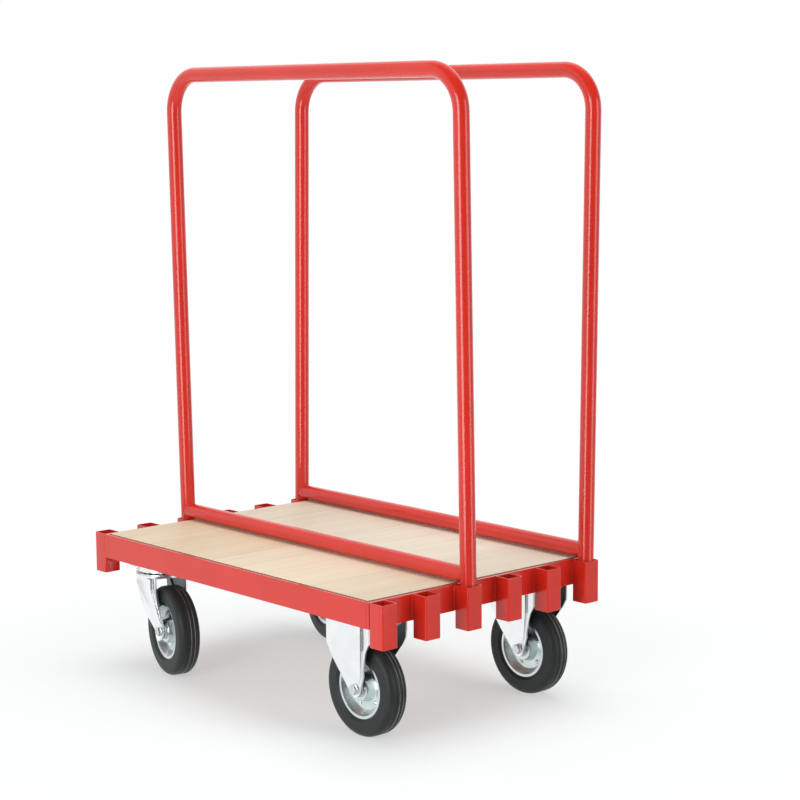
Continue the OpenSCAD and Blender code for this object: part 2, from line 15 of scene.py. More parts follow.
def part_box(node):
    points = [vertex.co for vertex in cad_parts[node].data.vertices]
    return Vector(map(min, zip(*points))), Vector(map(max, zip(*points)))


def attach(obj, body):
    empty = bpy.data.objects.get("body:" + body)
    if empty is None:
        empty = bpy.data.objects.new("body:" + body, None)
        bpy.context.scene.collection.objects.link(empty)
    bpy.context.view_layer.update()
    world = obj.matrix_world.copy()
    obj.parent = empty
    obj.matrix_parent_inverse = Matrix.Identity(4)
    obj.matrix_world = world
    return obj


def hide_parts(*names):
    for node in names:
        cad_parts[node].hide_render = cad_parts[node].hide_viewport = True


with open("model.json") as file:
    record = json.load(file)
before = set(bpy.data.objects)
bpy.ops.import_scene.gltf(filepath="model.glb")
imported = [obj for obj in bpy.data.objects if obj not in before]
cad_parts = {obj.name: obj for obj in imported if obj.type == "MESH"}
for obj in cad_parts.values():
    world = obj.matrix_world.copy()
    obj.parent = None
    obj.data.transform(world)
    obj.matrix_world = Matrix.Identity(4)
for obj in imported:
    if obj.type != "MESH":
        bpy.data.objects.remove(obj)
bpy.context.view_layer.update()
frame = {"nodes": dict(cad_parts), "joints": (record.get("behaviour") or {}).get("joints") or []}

LOG = logging.getLogger("cart")
MM = 0.001
FRAME_BODY = "cart_frame"
ACROSS = "across_tyre"
# Face attribute that marks where painted shade goes on the casters' pressings
PAINTED_SHADE_FACES = "inside_fold"
WHITE = (1.0, 1.0, 1.0, 1.0)
Colour = tuple[float, float, float, float]
Point = tuple[float, float, float]


class Slot(Enum):
    """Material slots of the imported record."""

    RED = "red_paint"
    PLY = "plywood"
    SHEET = "zinc_sheet"
    FASTENER = "zinc_fastener"
    STEEL = "bare_steel"
    TYRE = "tyre_rubber"


class Side(Enum):
    """The two long sides of the cart, by the direction of Y."""

    FRONT = -1
    REAR = 1


# Node building


class Shade:
    """An output socket that can be used in arithmetic."""

    def __init__(self, sheet: "NodeSheet", socket: bpy.types.NodeSocket) -> None:
        """Keeps the socket and the sheet that new nodes go on."""
        self.sheet = sheet
        self.socket = socket

    def sibling(self, name: str) -> "Shade":
        """Another output of the same node."""
        return Shade(self.sheet, self.socket.node.outputs[name])

    def _calc(self, operation: str, *values: "Value") -> "Shade":
        """Adds one Math node.

        Args:
            operation: The Math node's operation.
            values: What it works on, in order.

        Returns:
            The result as a new value.
        """
        return self.sheet.add("ShaderNodeMath", {"operation": operation}, dict(enumerate(values)))

    def __add__(self, other: "Value") -> "Shade":
        """self + other."""
        return self._calc("ADD", self, other)

    def __radd__(self, other: "Value") -> "Shade":
        """other + self."""
        return self._calc("ADD", other, self)

    def __sub__(self, other: "Value") -> "Shade":
        """self - other."""
        return self._calc("SUBTRACT", self, other)

    def __rsub__(self, other: "Value") -> "Shade":
        """other - self."""
        return self._calc("SUBTRACT", other, self)

    def __mul__(self, other: "Value") -> "Shade":
        """self * other."""
        return self._calc("MULTIPLY", self, other)

    def __rmul__(self, other: "Value") -> "Shade":
        """other * self."""
        return self._calc("MULTIPLY", other, self)

    def __gt__(self, other: "Value") -> "Shade":
        """1 where self is greater than other, else 0."""
        return self._calc("GREATER_THAN", self, other)

    def __abs__(self) -> "Shade":
        """self without its sign."""
        return self._calc("ABSOLUTE", self)

    def folded(self, size: float) -> "Shade":
        """self folded to and fro between 0 and a size."""
        return self._calc("PINGPONG", self, size)

    def top(self, other: "Value") -> "Shade":
        """The greater of the two values."""
        return self._calc("MAXIMUM", self, other)


Value = Union[Shade, float]
Surface = tuple[Shade, Shade, Shade]


@dataclass(frozen=True)
class Pattern:
    """One noise: waves to the metre, octaves, scale along X, Y and Z, weight of the finer octaves."""

    scale: float
    detail: float
    stretch: Point = (1, 1, 1)
    rough: float = 0.5


@dataclass(frozen=True)
class Ramp:
    """A smooth step that takes one range of values to another."""

    low: float
    high: float
    to_low: float = 0.0
    to_high: float = 1.0


NOISE_MIDDLE = 0.5  # The value that every noise varies about


class NodeSheet:
    """A node tree with one method that adds any node."""

    # The Mix node's two colours and its mixed colour, by number
    MIX_FIRST, MIX_SECOND, MIX_RESULT = 6, 7, 2

    def __init__(self, tree: bpy.types.NodeTree) -> None:
        """Empties the tree."""
        self.tree = tree
        tree.nodes.clear()

    def add(
        self,
        kind: str,
        settings: dict[str, Any] | None = None,
        sockets: dict[int | str, Any] | None = None,
        out: int | str = 0,
    ) -> Shade:
        """Adds a node, sets it up and links it.

        Args:
            kind: The node's type name.
            settings: Properties that are set first.
            sockets: Input values or links, by name or number.
            out: The output that is wanted.

        Returns:
            That output, or a wrapper of nothing where the node has no outputs.
        """
        node = self.tree.nodes.new(kind)
        for name, value in (settings or {}).items():
            setattr(node, name, value)
        for key, value in (sockets or {}).items():
            if isinstance(value, Shade):
                self.tree.links.new(value.socket, node.inputs[key])
            else:
                node.inputs[key].default_value = value
        return Shade(self, node.outputs[out] if node.outputs else None)

    def noise(self, pattern: Pattern) -> Shade:
        """Noise over the piece, in object coordinates.

        Args:
            pattern: The noise's settings.

        Returns:
            A value about NOISE_MIDDLE.
        """
        spot = self.add("ShaderNodeTexCoord", out="Object")
        place = self.add("ShaderNodeMapping", sockets={"Vector": spot, "Scale": pattern.stretch})
        return self.add(
            "ShaderNodeTexNoise",
            sockets={
                "Vector": place,
                "Scale": pattern.scale,
                "Detail": pattern.detail,
                "Roughness": pattern.rough,
            },
        )

    def span(self, value: Shade, ramp: Ramp) -> Shade:
        """A value moved smoothly from one range to another.

        Args:
            value: The value.
            ramp: The two ranges.

        Returns:
            The new value.
        """
        return self.add(
            "ShaderNodeMapRange",
            {"interpolation_type": "SMOOTHSTEP"},
            {
                "Value": value,
                "From Min": ramp.low,
                "From Max": ramp.high,
                "To Min": ramp.to_low,
                "To Max": ramp.to_high,
            },
        )

    def blend(self, factor: Value, first: Any, second: Any) -> Shade:
        """A colour between two others.

        Args:
            factor: 0 for the first, 1 for the second.
            first: Colour or link.
            second: Colour or link.

        Returns:
            The mixed colour.
        """
        return self.add(
            "ShaderNodeMix",
            {"data_type": "RGBA"},
            {"Factor": factor, self.MIX_FIRST: first, self.MIX_SECOND: second},
            out=self.MIX_RESULT,
        )


# Finishes


@dataclass(frozen=True)
class Finish:
    """A surface finish; a subclass draws what changes over the surface."""

    name: str
    colour: Colour
    roughness: float
    metallic: float = 0.0
    coat: float = 0.0
    coat_roughness: float = 0.05
    specular: float = 0.5
    bump: float = 0.1
    bump_depth: float = 0.0002

    def material(self) -> bpy.types.Material:
        """Makes the material, once.

        Returns:
            The material of this finish.
        """
        made = bpy.data.materials.get(self.name)
        if made:
            return made
        made = bpy.data.materials.new(self.name)
        made.use_nodes = True
        made.diffuse_color = self.colour
        sheet = NodeSheet(made.node_tree)
        colour, roughness, height = self.surface(sheet)
        normal = sheet.add(
            "ShaderNodeBump",
            sockets={"Height": height, "Strength": self.bump, "Distance": self.bump_depth},
        )
        shader = sheet.add(
            "ShaderNodeBsdfPrincipled",
            sockets={
                "Base Color": colour,
                "Roughness": roughness,
                "Metallic": self.metallic,
                "Specular IOR Level": self.specular,
                "Coat Weight": self.coat,
                "Coat Roughness": self.coat_roughness,
                "Normal": normal,
            },
        )
        sheet.add("ShaderNodeOutputMaterial", sockets={"Surface": shader})
        return made

    def surface(self, sheet: NodeSheet) -> Surface:
        """Colour, roughness and height over the surface."""
        raise NotImplementedError

    def toned(self, factor: float) -> Colour:
        """The finish's colour, darker or lighter by a factor."""
        return tuple(min(1.0, c * factor) for c in self.colour[:3]) + (1.0,)


@dataclass(frozen=True)
class RedEnamel(Finish):
    """Gloss red paint on steel, almost smooth, with a little handling wear."""

    cloud: Pattern = Pattern(5, 3)
    cloud_ramp: Ramp = Ramp(0.3, 0.7)
    cloud_tones: tuple[float, float] = (0.95, 1.04)
    scuff: Pattern = Pattern(30, 6, (1, 1, 0.35), 0.6)
    scuff_ramp: Ramp = Ramp(0.68, 0.8, 0, 0.16)
    scuff_tone: float = 0.75
    scuff_roughness: float = 0.5
    smear: Pattern = Pattern(14, 4)
    smear_ramp: Ramp = Ramp(0.35, 0.7, -0.03, 0.05)
    peel: Pattern = Pattern(90, 2)

    def surface(self, sheet: NodeSheet) -> Surface:
        """Draws the paint.

        Args:
            sheet: The material's nodes.

        Returns:
            Colour, roughness and height.
        """
        cloud = sheet.span(sheet.noise(self.cloud), self.cloud_ramp)
        scuff = sheet.span(sheet.noise(self.scuff), self.scuff_ramp)
        dark, light = (self.toned(tone) for tone in self.cloud_tones)
        colour = sheet.blend(scuff, sheet.blend(cloud, dark, light), self.toned(self.scuff_tone))
        smear = sheet.span(sheet.noise(self.smear), self.smear_ramp)
        roughness = self.roughness + smear + scuff * self.scuff_roughness
        return colour, roughness, sheet.noise(self.peel)


@dataclass(frozen=True)
class BirchPly(Finish):
    """Pale plywood whose face veneers run across the deck; painted light makes the deck's back half a
    little paler and greyer.
    """

    top_z: float = 0.0
    under_z: float = 0.0
    joint_x: float = -66 * MM
    far_joint_x: float = 270 * MM
    far_joint_weight: float = 0.6
    joint_ramp: Ramp = Ramp(0.6 * MM, 2.2 * MM, 1, 0)
    joint_share: float = 0.6
    joint_line: Colour = (0.42, 0.29, 0.18, 1)
    warm: Colour = (0.74, 0.6, 0.41, 1)
    pale_tones: tuple[float, float] = (1.05, 0.985)
    # Painted light: the paler, greyer colour that the deck's back half is blended towards.
    painted_light: Colour = (0.8, 0.8, 0.75, 1)
    painted_light_ramp: Ramp = Ramp(-90 * MM, 50 * MM, 0, 0.31)
    figure: Pattern = Pattern(3.2, 5, (1, 0.16, 1), 0.6)
    figure_weight: float = 0.6
    streak: Pattern = Pattern(34, 5, (1, 0.035, 1), 0.6)
    streak_weight: float = 0.4
    grain_ramp: Ramp = Ramp(0.38, 0.62)
    grain_share: float = 0.35
    grain_tone: float = 0.6
    grain_polish: float = 0.05
    speck: Pattern = Pattern(55, 3, (1, 0.12, 1))
    speck_ramp: Ramp = Ramp(0.66, 0.74)
    speck_share: float = 0.22
    speck_colour: Colour = (0.5, 0.34, 0.2, 1)
    pore: Pattern = Pattern(210, 2, (1, 0.05, 1))
    pore_roughness: float = 0.14
    ply: float = 2.6 * MM
    ply_soft: tuple[float, float] = (0.2, 0.8)
    ply_tone: float = 0.75
    glue: Colour = (0.3, 0.2, 0.12, 1)

    def surface(self, sheet: NodeSheet) -> Surface:
        """Draws the face veneers, and the plies on the deck's edges.

        Args:
            sheet: The material's nodes.

        Returns:
            Colour, roughness and height.
        """
        spot = sheet.add("ShaderNodeTexCoord", out="Object")
        x = sheet.add("ShaderNodeSeparateXYZ", sockets={"Vector": spot}, out="X")
        z = x.sibling("Z")
        pore = sheet.noise(self.pore)
        figure = sheet.noise(self.figure) * self.figure_weight
        grain = sheet.span(figure + sheet.noise(self.streak) * self.streak_weight, self.grain_ramp)
        seam = self._seam(sheet, x, self.joint_x)
        seam = seam + self._seam(sheet, x, self.far_joint_x) * self.far_joint_weight
        face = sheet.blend(seam * self.joint_share, self._veneer(sheet, x, grain), self.joint_line)
        edge = (z > self.under_z) * (1 - (z > self.top_z))
        roughness = self.roughness + pore * self.pore_roughness - grain * self.grain_polish
        return sheet.blend(edge, face, self._plies(sheet, z)), roughness, pore - seam

    def _veneer(self, sheet: NodeSheet, x: Shade, grain: Shade) -> Shade:
        """The veneers' colour without their joints, with painted light on the deck's back half.

        Args:
            sheet: The material's nodes.
            x: Distance along the deck, whose node also gives the distance across it.
            grain: The grain, 0 where it is darkest.

        Returns:
            The colour.
        """
        brighter, plainer = (self.toned(tone) for tone in self.pale_tones)
        pale = sheet.blend(x > self.far_joint_x, brighter, plainer)
        base = sheet.blend(x > self.joint_x, self.warm, pale)
        # Painted light: paler and greyer towards the deck's back.
        base = sheet.blend(sheet.span(x.sibling("Y"), self.painted_light_ramp), base, self.painted_light)
        shade = self.grain_share - grain * self.grain_share
        shaded = sheet.blend(shade, base, self.toned(self.grain_tone))
        speck = sheet.span(sheet.noise(self.speck), self.speck_ramp)
        return sheet.blend(speck * self.speck_share, shaded, self.speck_colour)

    def _plies(self, sheet: NodeSheet, z: Shade) -> Shade:
        """The layers that show on the deck's edges.

        Args:
            sheet: The material's nodes.
            z: Height.

        Returns:
            The colour.
        """
        soft = Ramp(*(share * self.ply for share in self.ply_soft))
        return sheet.blend(sheet.span(z.folded(self.ply), soft), self.glue, self.toned(self.ply_tone))

    def _seam(self, sheet: NodeSheet, x: Shade, at: float) -> Shade:
        """1 on the line where two veneers meet, 0 elsewhere."""
        return sheet.span(abs(x - at), self.joint_ramp)


@dataclass(frozen=True)
class ZincPlate(Finish):
    """Bright zinc plating on steel, faintly clouded and tinted."""

    tint: Colour = (0.62, 0.7, 0.7, 1)
    spread: float = 0.1
    cloud: Pattern = Pattern(17, 4, rough=0.6)
    cloud_ramp: Ramp = Ramp(0.35, 0.7, 0, 0.75)
    fine: Pattern = Pattern(140, 3)
    fine_spread: float = 0.08

    def surface(self, sheet: NodeSheet) -> Surface:
        """Draws the plating.

        Args:
            sheet: The material's nodes.

        Returns:
            Colour, roughness and height.
        """
        cloud = sheet.noise(self.cloud)
        fine = sheet.noise(self.fine)
        colour = sheet.blend(sheet.span(cloud, self.cloud_ramp), self.colour, self.tint)
        roughness = self.roughness + (cloud - NOISE_MIDDLE) * self.spread
        return colour, roughness + (fine - NOISE_MIDDLE) * self.fine_spread, fine


@dataclass(frozen=True)
class PressedSheet(ZincPlate):
    """Zinc-plated pressing with painted shade: the faces that look at the wheel or down are painted
    dark and made rougher.
    """

    # Painted shade: the dark colour of faces that look at the wheel or down.
    painted_shade: Colour = (0.2, 0.23, 0.23, 1)
    painted_shade_roughness: float = 0.2

    def surface(self, sheet: NodeSheet) -> Surface:
        """Draws the pressing, with painted shade on its marked faces.

        Args:
            sheet: The material's nodes.

        Returns:
            Colour, roughness and height.
        """
        colour, roughness, height = super().surface(sheet)
        # Painted shade on the marked faces, which are also made rougher.
        painted_shade_mask = sheet.add("ShaderNodeAttribute", {"attribute_name": PAINTED_SHADE_FACES}, out="Fac")
        return sheet.blend(painted_shade_mask, colour, self.painted_shade), roughness + painted_shade_mask * self.painted_shade_roughness, height


@dataclass(frozen=True)
class GroundSteel(Finish):
    """Plain ground steel of pins, sleeves and bearings."""

    mark: Pattern = Pattern(220, 3)
    mark_ramp: Ramp = Ramp(0.3, 0.7)
    mark_tones: tuple[float, float] = (0.86, 1.08)
    spread: float = 0.12

    def surface(self, sheet: NodeSheet) -> Surface:
        """Draws the steel.

        Args:
            sheet: The material's nodes.

        Returns:
            Colour, roughness and height.
        """
        mark = sheet.noise(self.mark)
        dark, light = (self.toned(tone) for tone in self.mark_tones)
        colour = sheet.blend(sheet.span(mark, self.mark_ramp), dark, light)
        return colour, self.roughness + (mark - NOISE_MIDDLE) * self.spread, mark


@dataclass(frozen=True)
class TyreRubber(Finish):
    """Grey-black rubber with a little dust on it, and painted highlights: fine pale lines round the
    tread for light caught by its grooves.
    """

    patch: Pattern = Pattern(20, 5, rough=0.65)
    patch_ramp: Ramp = Ramp(0.45, 0.75, 0, 0.4)
    grit: Pattern = Pattern(260, 3)
    grit_ramp: Ramp = Ramp(0.4, 0.65, 0.35, 1)
    grit_spread: float = 0.1
    dust: Colour = (0.05, 0.05, 0.047, 1)
    dust_roughness: float = 0.25
    # Painted highlight: the colour of pale lines round the tread, for light caught by its grooves.
    line: Colour = (0.22, 0.22, 0.21, 1)
    line_at: tuple[float, ...] = (0.5 * MM, 9.5 * MM)
    line_half: float = 1.3 * MM
    line_core: float = 0.4
    line_patchiness: Ramp = Ramp(0.3, 0.6, 0.25, 0.9)

    def surface(self, sheet: NodeSheet) -> Surface:
        """Draws the rubber and its painted highlight lines.

        Args:
            sheet: The material's nodes.

        Returns:
            Colour, roughness and height.
        """
        patch = sheet.noise(self.patch)
        grit = sheet.noise(self.grit)
        settled = sheet.span(patch, self.patch_ramp) * sheet.span(grit, self.grit_ramp)
        colour = sheet.blend(settled, self.colour, self.dust)
        across = sheet.add("ShaderNodeAttribute", {"attribute_name": ACROSS}, out="Fac")
        patchy = sheet.span(patch, self.line_patchiness)
        width = Ramp(self.line_core * self.line_half, self.line_half, 1, 0)
        # Painted highlights: pale lines round the tread, broken up by the patch noise.
        for place in self.line_at:
            colour = sheet.blend(sheet.span(abs(across - place), width) * patchy, colour, self.line)
        roughness = self.roughness + settled * self.dust_roughness
        return colour, roughness + (grit - NOISE_MIDDLE) * self.grit_spread, grit


FACE_DEPTH = 0.3 * MM  # How far from the deck's faces the plies of its edges begin
PAINT = RedEnamel(
    "red_enamel",
    (0.635, 0.022, 0.011, 1),
    0.38,
    coat=1.0,
    coat_roughness=0.14,
    specular=0.12,
    bump=0.0015,
)
PLY = BirchPly(
    "birch_plywood",
    (0.79, 0.665, 0.49, 1),
    0.46,
    bump=0.2,
    bump_depth=0.0003,
    top_z=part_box("deck_board")[1].z - FACE_DEPTH,
    under_z=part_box("deck_board")[0].z + FACE_DEPTH,
)
SHEET = PressedSheet(
    "zinc_plated_sheet", (0.96, 0.98, 0.99, 1), 0.3, metallic=1, bump=0.05, tint=(0.86, 0.9, 0.91, 1)
)
RIM = ZincPlate("zinc_plated_rim", (0.72, 0.79, 0.79, 1), 0.3, metallic=1, bump=0.05, spread=0.16)
FASTENER = ZincPlate("zinc_plated_fastener", (0.72, 0.73, 0.74, 1), 0.3, metallic=1, bump=0.05)
STEEL = GroundSteel("ground_steel", (0.5, 0.51, 0.52, 1), 0.34, metallic=1, bump=0.05)
RUBBER = TyreRubber("moulded_rubber", (0.022, 0.0255, 0.0255, 1), 0.5, bump=0.15, specular=0.3)


# Meshes


MERGE_REACH = 3e-6  # Vertices nearer than this are one
SMALLEST_EDGE = 1e-6
FLAT_ANGLE = math.radians(0.5)  # Faces that differ by less are joined
SHARP_ANGLE = math.radians(32)  # Edges above it are rounded
SMOOTH_ANGLE = math.radians(21)  # Below the 22.5 degrees at which a rounding meets a flat face
ROUNDING_STEPS = 2
ROUNDING_PROFILE = 0.5
CAD_ATTRIBUTES = ("custom_normal", "sharp_edge", "sharp_face")


def clean_solid(node: str, bevel: float) -> bpy.types.Mesh:
    """Copies a node's mesh, merges it and rounds its sharp edges.

    Args:
        node: The node.
        bevel: Width of the rounding, in metres; 0 for none.

    Returns:
        The new mesh.
    """
    shape = bmesh.new()
    shape.from_mesh(frame["nodes"][node].data)
    bmesh.ops.remove_doubles(shape, verts=shape.verts, dist=MERGE_REACH)
    bmesh.ops.dissolve_degenerate(shape, dist=SMALLEST_EDGE, edges=shape.edges)
    if bevel > 0:
        bmesh.ops.dissolve_limit(shape, angle_limit=FLAT_ANGLE, verts=shape.verts, edges=shape.edges)
        bmesh.ops.bevel(
            shape,
            geom=[e for e in shape.edges if e.is_manifold and e.calc_face_angle(0) > SHARP_ANGLE],
            offset=bevel,
            offset_type="OFFSET",
            segments=ROUNDING_STEPS,
            profile=ROUNDING_PROFILE,
            affect="EDGES",
            clamp_overlap=True,
            miter_outer="ARC",
        )
    mesh = bpy.data.meshes.new(node)
    shape.to_mesh(mesh)
    shape.free()
    for name in CAD_ATTRIBUTES:
        if name in mesh.attributes:
            mesh.attributes.remove(mesh.attributes[name])
    mesh.shade_smooth()
    mesh.set_sharp_from_angle(angle=SMOOTH_ANGLE)
    return mesh


def show(
    mesh: bpy.types.Mesh, name: str, finish: Finish, body: str, slot: Slot, *nodes: str
) -> bpy.types.Object:
    """Puts a finished mesh in the scene, on its body.

    Args:
        mesh: The mesh.
        name: Name of the piece.
        finish: Its finish.
        body: The body that it moves with.
        slot: The record's slot; not used.
        nodes: Nodes that it stands for.

    Returns:
        The new object.
    """
    mesh.materials.clear()
    mesh.materials.append(finish.material())
    piece = bpy.data.objects.new(name, mesh)
    bpy.context.scene.collection.objects.link(piece)
    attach(piece, body)
    if nodes:
        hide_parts(*nodes)
    LOG.info("%s on %s: %d faces", name, body, len(mesh.polygons))
    return piece


def dress(node: str, body: str, finish: Finish, slot: Slot, bevel: float) -> bpy.types.Object:
    """Shows a softened copy of a node in its place.

    Args:
        node: The node.
        body: The body that it belongs to.
        finish: The finish.
        slot: The record's slot.
        bevel: Width of the edges' rounding, in metres.

    Returns:
        The new piece.
    """
    return show(clean_solid(node, bevel), f"{node}_finished", finish, body, slot, node)


FACING = 0.7  # Cosine above which a face looks in a direction


def mark_painted_shade(mesh: bpy.types.Mesh, centre: Vector, axle: Vector) -> None:
    """Marks the faces of a bracket or fork that look at its wheel, or down, which get painted shade.

    Args:
        mesh: The pressing's mesh.
        centre: The wheel's centre.
        axle: Direction of the wheel's axle.
    """
    values = mesh.attributes.new(PAINTED_SHADE_FACES, "FLOAT", "FACE").data
    for face, value in zip(mesh.polygons, values):
        leg_side = (face.center - centre).dot(axle)
        facing = face.normal.dot(axle)
        inward = abs(facing) > FACING and leg_side * facing < 0
        value.value = float(inward or face.normal.z < -FACING)


def path_mesh(paths: Sequence[Sequence[Vector]], name: str) -> bpy.types.Mesh:
    """Makes open lines of edges.

    Args:
        paths: The points of each line.
        name: Name of the mesh.

    Returns:
        A mesh of edges only.
    """
    points: list[Vector] = []
    edges: list[tuple[int, int]] = []
    for path in paths:
        start = len(points)
        points += list(path)
        edges += [(start + i, start + i + 1) for i in range(len(path) - 1)]
    mesh = bpy.data.meshes.new(name)
    mesh.from_pydata(points, edges, [])
    return mesh


class NodeGeometry:
    """A Geometry Nodes tree with named inputs that turns a mesh into a finished plain mesh."""

    def __init__(self, name: str, sizes: dict[str, tuple[str, Any]], finish: Finish) -> None:
        """Makes the tree's inputs and output.

        Args:
            name: Name of the tree.
            sizes: Named inputs with their socket type and value.
            finish: The finish that is set on the result.
        """
        self.tree = bpy.data.node_groups.new(name, "GeometryNodeTree")
        self.sizes = sizes
        self.finish = finish
        face = self.tree.interface
        face.new_socket("Geometry", in_out="INPUT", socket_type="NodeSocketGeometry")
        self.keys = {
            size: face.new_socket(size, in_out="INPUT", socket_type=kind).identifier
            for size, (kind, _) in sizes.items()
        }
        face.new_socket("Geometry", in_out="OUTPUT", socket_type="NodeSocketGeometry")
        self.sheet = NodeSheet(self.tree)
        self.input = self.sheet.add("NodeGroupInput")

    def size(self, name: str) -> Shade:
        """A named input as a value."""
        return self.input.sibling(name)

    def close(self, geometry: Shade) -> None:
        """Realises, smooths and finishes the geometry, and sends it out.

        Args:
            geometry: The tree's last geometry.
        """
        real = self.sheet.add("GeometryNodeRealizeInstances", sockets={"Geometry": geometry})
        smooth = self.sheet.add("GeometryNodeSetShadeSmooth", sockets={0: real})
        dressed = self.sheet.add(
            "GeometryNodeSetMaterial", sockets={"Geometry": smooth, "Material": self.finish.material()}
        )
        self.sheet.add("NodeGroupOutput", sockets={"Geometry": dressed})

    def run(self, base: bpy.types.Mesh, name: str) -> bpy.types.Mesh:
        """Runs the tree on a mesh.

        Args:
            base: What the tree starts from.
            name: Name of the result.

        Returns:
            A plain mesh.
        """
        holder = bpy.data.objects.new(f"{name}_base", base)
        bpy.context.scene.collection.objects.link(holder)
        step = holder.modifiers.new("shape", "NODES")
        step.node_group = self.tree
        for size, (_, value) in self.sizes.items():
            step[self.keys[size]] = value
        graph = bpy.context.evaluated_depsgraph_get()
        made = bpy.data.meshes.new_from_object(holder.evaluated_get(graph), depsgraph=graph)
        made.name = name
        holder.modifiers.remove(step)
        bpy.data.objects.remove(holder)
        return made


class WeldBead(NodeGeometry):
    """Rows of small overlapping drops along lines."""

    SEED = 7
    SMALLEST, LARGEST = 0.88, 1.12
    SUBDIVISIONS = 2
    # The Random Value node's least and greatest float and its float result, by number
    RANDOM_LEAST, RANDOM_GREATEST, RANDOM_RESULT = 2, 3, 1

    def __init__(self, name: str, drop: float, pitch: float, finish: Finish) -> None:
        """Builds the tree.

        Args:
            name: Name of the tree.
            drop: Radius of a drop.
            pitch: Distance between drops.
            finish: Finish of the bead.
        """
        super().__init__(
            name,
            {
                "Drop": ("NodeSocketFloat", drop),
                "Pitch": ("NodeSocketFloat", pitch),
                "Seed": ("NodeSocketInt", self.SEED),
            },
            finish,
        )
        sheet = self.sheet
        line = sheet.add("GeometryNodeMeshToCurve", sockets={"Mesh": self.size("Geometry")})
        spots = sheet.add(
            "GeometryNodeCurveToPoints",
            {"mode": "LENGTH"},
            {"Curve": line, "Length": self.size("Pitch")},
        )
        ball = sheet.add(
            "GeometryNodeMeshIcoSphere",
            sockets={"Radius": self.size("Drop"), "Subdivisions": self.SUBDIVISIONS},
        )
        vary = sheet.add(
            "FunctionNodeRandomValue",
            {"data_type": "FLOAT"},
            {
                self.RANDOM_LEAST: self.SMALLEST,
                self.RANDOM_GREATEST: self.LARGEST,
                "Seed": self.size("Seed"),
            },
            out=self.RANDOM_RESULT,
        )
        self.close(
            sheet.add(
                "GeometryNodeInstanceOnPoints",
                sockets={"Points": spots, "Instance": ball, "Scale": vary},
            )
        )


class RivetHeads(NodeGeometry):
    """A domed head on every vertex of a mesh, turned along one axle."""

    SEGMENTS = 20
    RINGS = 10

    def __init__(self, name: str, radius: float, height: float, axle: Vector, finish: Finish) -> None:
        """Builds the tree.

        Args:
            name: Name of the tree.
            radius: Radius of a head.
            height: Height of a head.
            axle: Direction of the wheel's axle.
            finish: Finish of the heads.
        """
        super().__init__(
            name,
            {
                "Head Radius": ("NodeSocketFloat", radius),
                "Head Height": ("NodeSocketFloat", height),
                "Axle": ("NodeSocketVector", tuple(axle)),
            },
            finish,
        )
        sheet = self.sheet
        ball = sheet.add(
            "GeometryNodeMeshUVSphere",
            sockets={
                "Segments": self.SEGMENTS,
                "Rings": self.RINGS,
                "Radius": self.size("Head Radius"),
            },
        )
        squat = self.size("Head Height") * (1 / radius)
        scale = sheet.add("ShaderNodeCombineXYZ", sockets={"X": 1.0, "Y": 1.0, "Z": squat})
        dome = sheet.add("GeometryNodeTransform", sockets={"Geometry": ball, "Scale": scale})
        turn = sheet.add(
            "FunctionNodeAlignRotationToVector", {"axis": "Z"}, {"Vector": self.size("Axle")}
        )
        self.close(
            sheet.add(
                "GeometryNodeInstanceOnPoints",
                sockets={"Points": self.size("Geometry"), "Instance": dome, "Rotation": turn},
            )
        )


def weld(stem: str, paths: Sequence[Sequence[Vector]], body: str, drop: float, pitch: float) -> None:
    """Shows painted weld beads along lines.

    Args:
        stem: Start of the piece's name.
        paths: The points of each line.
        body: The body that the beads move with.
        drop: Radius of a drop.
        pitch: Distance between drops.
    """
    bead = WeldBead(f"{stem}_weld", drop, pitch, PAINT)
    mesh = bead.run(path_mesh(paths, f"{stem}_weld_lines"), f"{stem}_welds")
    show(mesh, f"{stem}_welds", PAINT, body, Slot.RED)


# The cart's pieces


@dataclass
class DeckFrame:
    """Rails, bearers, sockets, deck and their fasteners."""

    body: str = FRAME_BODY
    edge: float = 0.8 * MM
    socket_edge: float = 0.45 * MM
    deck_edge: float = 0.7 * MM
    fastener_edge: float = 0.4 * MM
    bearer_count: int = 5
    socket_count: int = 6
    weld_drop: float = 2.0 * MM
    weld_pitch: float = 1.7 * MM
    weld_margin: float = 4 * MM
    weld_out: float = 0.4 * MM
    weld_aside: float = 0.3 * MM
    rails: tuple[str, ...] = ("side_rail_front", "side_rail_rear", "end_rail_left", "end_rail_right")
    fasteners: tuple[str, ...] = ("deck_screws", "caster_bolts", "caster_nuts")

    def build(self) -> None:
        """Makes every piece of the frame."""
        for rail in self.rails:
            dress(rail, self.body, PAINT, Slot.RED, self.edge)
        for number in range(1, self.bearer_count + 1):
            dress(f"cross_bearer_{number}", self.body, PAINT, Slot.RED, self.edge)
        for end in ("left", "right"):
            for number in range(1, self.socket_count + 1):
                dress(f"socket_{end}_{number}", self.body, PAINT, Slot.RED, self.socket_edge)
        dress("deck_board", self.body, PLY, Slot.PLY, self.deck_edge)
        for fastener in self.fasteners:
            dress(fastener, self.body, FASTENER, Slot.FASTENER, self.fastener_edge)
        self.welds()

    def welds(self) -> None:
        """Runs a bead down each inner corner between a socket and its end rail."""
        paths: list[list[Vector]] = []
        for end, way in (("left", -1), ("right", 1)):
            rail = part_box(f"end_rail_{end}")
            x = (rail[0].x if way < 0 else rail[1].x) + way * self.weld_out
            foot, head = rail[0].z + self.weld_margin, rail[1].z - self.weld_margin
            for number in range(1, self.socket_count + 1):
                low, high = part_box(f"socket_{end}_{number}")
                corners = []
                if number > 1:
                    corners.append(low.y - self.weld_aside)
                if number < self.socket_count:
                    corners.append(high.y + self.weld_aside)
                paths += [[Vector((x, y, foot)), Vector((x, y, head))] for y in corners]
        weld("socket", paths, self.body, self.weld_drop, self.weld_pitch)


